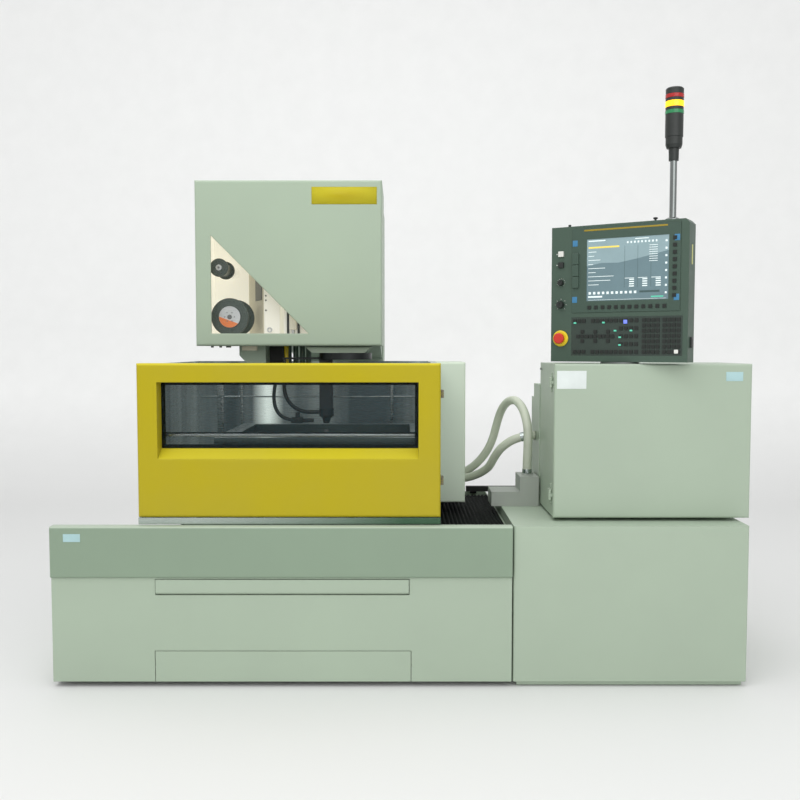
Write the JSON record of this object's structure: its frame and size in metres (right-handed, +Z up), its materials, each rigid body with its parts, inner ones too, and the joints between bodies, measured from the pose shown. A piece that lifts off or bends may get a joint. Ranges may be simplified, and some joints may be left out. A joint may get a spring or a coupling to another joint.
{
  "type": "wire edm machine",
  "caption": "Wire-cut discharge machine with glazed work tank, wire feed head on a column, fluid cabinet, control cabinet, swivelling operator panel and signal tower.",
  "frame": {"origin": "bottom centre of the bounding box, on the floor under the levelling pads", "axes": "+X to the operator's right as seen from the front, +Y from the front to the column at the back, +Z up"},
  "size_m": [2.507, 2, 2.121],
  "materials": {
    "cast_green": "satin",
    "dark_steel": "satin",
    "sage_paint": "satin",
    "ground_steel": "satin",
    "black_rubber": "matte",
    "stainless": "satin",
    "black_paint": "satin",
    "grey_paint": "satin",
    "cream_hose": "satin",
    "grey_plastic": "matte",
    "panel_paint": "satin",
    "screen": "gloss",
    "key_film": "matte",
    "key_plastic": "matte",
    "yellow_plastic": "gloss",
    "chrome": "polished",
    "black_plastic": "satin",
    "green_lens": "gloss",
    "amber_lens": "gloss",
    "red_lens": "gloss",
    "red_plastic": "gloss",
    "white_plastic": "gloss",
    "yellow_paint": "satin",
    "clear_glass": "clear",
    "hinge_metal": "satin",
    "cream_paint": "satin",
    "tube_plastic": "gloss",
    "clear_plastic": "clear",
    "reel_plastic": "satin",
    "black_metal": "satin"
  },
  "bodies": {
    "root": {"bed_casting": "cast_green", "levelling_feet": "dark_steel", "front_band": "sage_paint", "front_panel": "sage_paint", "bed_covers": "sage_paint", "axis_rails": "ground_steel", "left_bellows": "black_rubber", "right_bellows": "black_rubber", "seal_plate": "stainless", "cable_tray": "black_paint", "fluid_cabinet": "sage_paint", "filter_canisters": "grey_paint", "fluid_pump": "grey_paint", "hose_manifold": "grey_paint", "supply_hose": "cream_hose", "return_hose": "cream_hose", "control_cabinet": "sage_paint", "amplifier_rack": "grey_plastic", "heat_exchanger": "sage_paint", "swivel_post": "dark_steel"},
    "drawer": {"tool_drawer": "sage_paint"},
    "cabinet_door": {"control_door": "sage_paint"},
    "operator_panel": {"panel_housing": "panel_paint", "screen_bezel": "panel_paint", "screen_glass": "screen", "key_panel": "key_film", "key_caps": "key_plastic", "emergency_ring": "yellow_plastic", "signal_pole": "chrome", "signal_body": "black_plastic", "lens_green": "green_lens", "lens_amber": "amber_lens", "lens_red": "red_lens"},
    "stop_button": {"emergency_button": "red_plastic"},
    "start_button": {"white_button": "white_plastic"},
    "power_button": {"black_button": "black_plastic"},
    "feed_dial": {"feed_knob": "black_plastic"},
    "mode_dial": {"mode_knob": "black_plastic"},
    "tank": {"tank_saddle": "cast_green", "tank_shell": "stainless", "tank_side_box": "sage_paint", "work_table": "ground_steel", "door_hinges": "hinge_metal"},
    "door": {"tank_door": "yellow_paint", "window_glass": "clear_glass", "window_gasket": "black_rubber"},
    "column": {"column_casting": "cast_green", "lower_arm": "ground_steel", "lower_guide": "dark_steel"},
    "takeup": {"takeup_roller": "dark_steel"},
    "head": {"head_carriage": "cast_green", "head_box": "cream_paint", "threading_unit": "cream_paint", "feed_tubes": "tube_plastic"},
    "feed_cover": {"head_cover": "sage_paint", "cover_pane": "clear_plastic"},
    "spool": {"wire_spool": "reel_plastic"},
    "roller": {"guide_roller": "reel_plastic"},
    "u_stage": {"u_slide": "cast_green"},
    "v_stage": {"upper_guide": "black_metal"}
  },
  "joints": [
    {"name": "tank_x", "type": "slide", "parent": "root", "child": "tank", "axis": [1, 0, 0], "range_m": [-0.3, 0.09], "deforming": ["left_bellows", "right_bellows", "supply_hose", "return_hose"]},
    {"name": "door_swing", "type": "hinge", "parent": "tank", "child": "door", "pos_m": [0.13506, -0.905, 0.8815], "axis": [0, 0, 1], "range_deg": [0, 95]},
    {"name": "column_y", "type": "slide", "parent": "root", "child": "column", "axis": [0, 1, 0], "range_m": [-0.2, 0.2]},
    {"name": "head_z", "type": "slide", "parent": "column", "child": "head", "axis": [0, 0, 1], "range_m": [-0.01, 0.25]},
    {"name": "feed_cover_swing", "type": "hinge", "parent": "head", "child": "feed_cover", "pos_m": [-0.80806, -0.601, 1.5335], "axis": [0, 0, -1], "range_deg": [0, 110]},
    {"name": "spool_turn", "type": "hinge", "parent": "head", "child": "spool", "pos_m": [-0.68596, -0.515, 1.331], "axis": [0, 1, 0], "continuous": true},
    {"name": "roller_turn", "type": "hinge", "parent": "head", "child": "roller", "pos_m": [-0.72696, -0.515, 1.524], "axis": [0, 1, 0], "continuous": true},
    {"name": "takeup_turn", "type": "hinge", "parent": "column", "child": "takeup", "pos_m": [-0.3145, 0.79, 0.755], "axis": [1, 0, 0], "continuous": true},
    {"name": "guide_u", "type": "slide", "parent": "head", "child": "u_stage", "axis": [1, 0, 0], "range_m": [-0.04, 0.04]},
    {"name": "guide_v", "type": "slide", "parent": "u_stage", "child": "v_stage", "axis": [0, 1, 0], "range_m": [-0.04, 0.04]},
    {"name": "drawer_out", "type": "slide", "parent": "root", "child": "drawer", "axis": [0, -1, 0], "range_m": [0, 0.25]},
    {"name": "cabinet_door_swing", "type": "hinge", "parent": "root", "child": "cabinet_door", "pos_m": [0.5329, -0.869, 0.872], "axis": [0, 0, -1], "range_deg": [0, 90]},
    {"name": "panel_swivel", "type": "hinge", "parent": "root", "child": "operator_panel", "pos_m": [0.79402, -0.8193, 1.158], "axis": [0, 0, 1], "range_deg": [-30, 30]},
    {"name": "stop_press", "type": "slide", "parent": "operator_panel", "child": "stop_button", "axis": [0.5329, 0.8462, 0], "range_m": [0, 0.006], "stiffness_N_per_m": 900, "springref_m": -0.002},
    {"name": "white_press", "type": "slide", "parent": "operator_panel", "child": "start_button", "axis": [0.5329, 0.8462, 0], "range_m": [0, 0.003], "stiffness_N_per_m": 600, "springref_m": -0.002},
    {"name": "black_press", "type": "slide", "parent": "operator_panel", "child": "power_button", "axis": [0.5329, 0.8462, 0], "range_m": [0, 0.003], "stiffness_N_per_m": 600, "springref_m": -0.002},
    {"name": "feed_turn", "type": "hinge", "parent": "operator_panel", "child": "feed_dial", "pos_m": [0.5895, -0.73778, 1.453], "axis": [-0.5329, -0.8462, 0], "range_deg": [-135, 135]},
    {"name": "mode_turn", "type": "hinge", "parent": "operator_panel", "child": "mode_dial", "pos_m": [0.5895, -0.73778, 1.371], "axis": [-0.5329, -0.8462, 0], "range_deg": [-60, 60]}
  ],
  "couplings": [
    {"joint": "roller_turn", "follows": "spool_turn", "ratio": 1.7692},
    {"joint": "takeup_turn", "follows": "spool_turn", "ratio": 1.0222}
  ]
}
